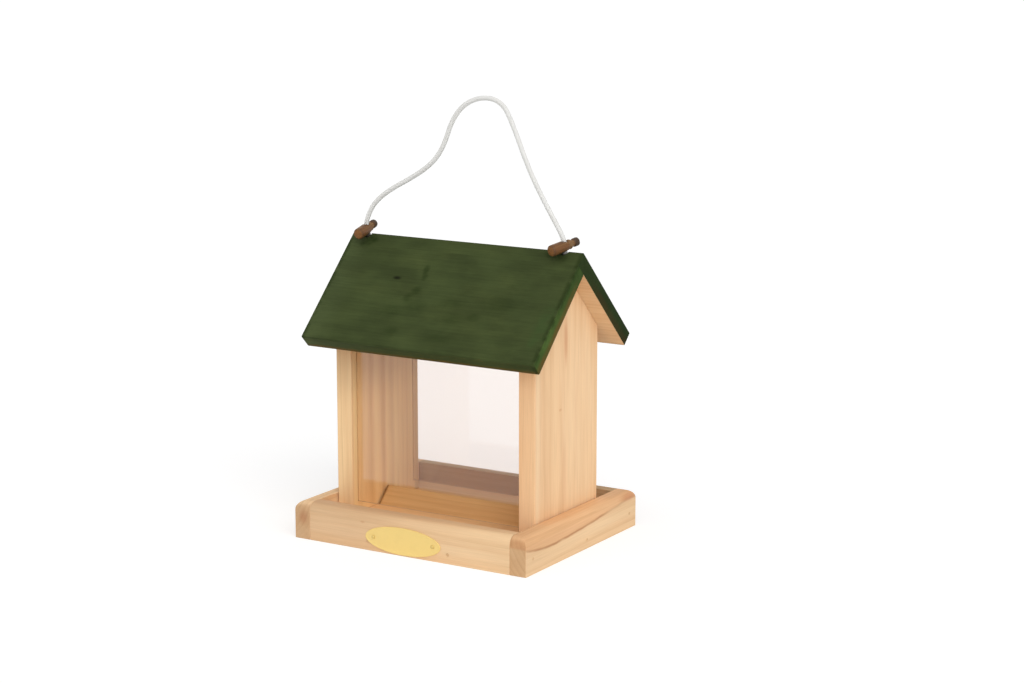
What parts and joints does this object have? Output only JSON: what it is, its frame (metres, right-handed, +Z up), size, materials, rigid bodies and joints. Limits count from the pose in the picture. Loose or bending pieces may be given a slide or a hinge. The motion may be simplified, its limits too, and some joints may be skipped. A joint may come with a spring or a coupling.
{
  "type": "hanging bird feeder house",
  "caption": "Hanging wooden hopper bird feeder: open tray, gable walls with clear windows, and a green pitched roof that slides up its white cord for filling.",
  "frame": {"origin": "under the middle of the tray, on the surface that it stands on", "axes": "+X along the ridge to the right, +Y from the front with the plate to the back, +Z up"},
  "size_m": [0.24, 0.1946, 0.393],
  "materials": {
    "bare_wood": "planed bare softwood",
    "green_wood": "dark olive green stain",
    "clear_sheet": "clear acrylic sheet",
    "brown_wood": "brown stained turned wood",
    "cord": "white braided cord",
    "brass_plate": "pale satin brass, bare",
    "steel": "bright wire nail steel"
  },
  "bodies": {
    "house": {"tray_floor": "bare_wood", "front_rail": "bare_wood", "back_rail": "bare_wood", "left_rail": "bare_wood", "right_rail": "bare_wood", "left_gable": "bare_wood", "right_gable": "bare_wood", "front_window": "clear_sheet", "back_window": "clear_sheet", "seed_wedge": "bare_wood", "left_cord_tail": "cord", "right_cord_tail": "cord", "left_cord_knot": "cord", "right_cord_knot": "cord", "oval_plate": "brass_plate", "plate_pins": "brass_plate", "corner_brads": "steel", "floor_brads": "steel", "gable_screws": "steel", "wedge_brads": "steel"},
    "roof": {"front_roof_board": "green_wood", "back_roof_board": "green_wood", "ridge_nails": "steel", "hanging_cord": "cord"},
    "left_toggle": {"left_toggle": "brown_wood"},
    "right_toggle": {"right_toggle": "brown_wood"}
  },
  "joints": [
    {"name": "roof_lift", "type": "slide", "parent": "house", "child": "roof", "axis": [0, 0, 1], "range_m": [0, 0.05], "deforming": ["hanging_cord", "left_cord_tail", "right_cord_tail"]},
    {"name": "left_toggle_slide", "type": "slide", "parent": "roof", "child": "left_toggle", "axis": [0.061, -0.061, 0.9963], "range_m": [0, 0.01], "deforming": ["hanging_cord"]},
    {"name": "right_toggle_slide", "type": "slide", "parent": "roof", "child": "right_toggle", "axis": [-0.3479, 0, 0.9375], "range_m": [0, 0.01], "deforming": ["hanging_cord"]}
  ]
}
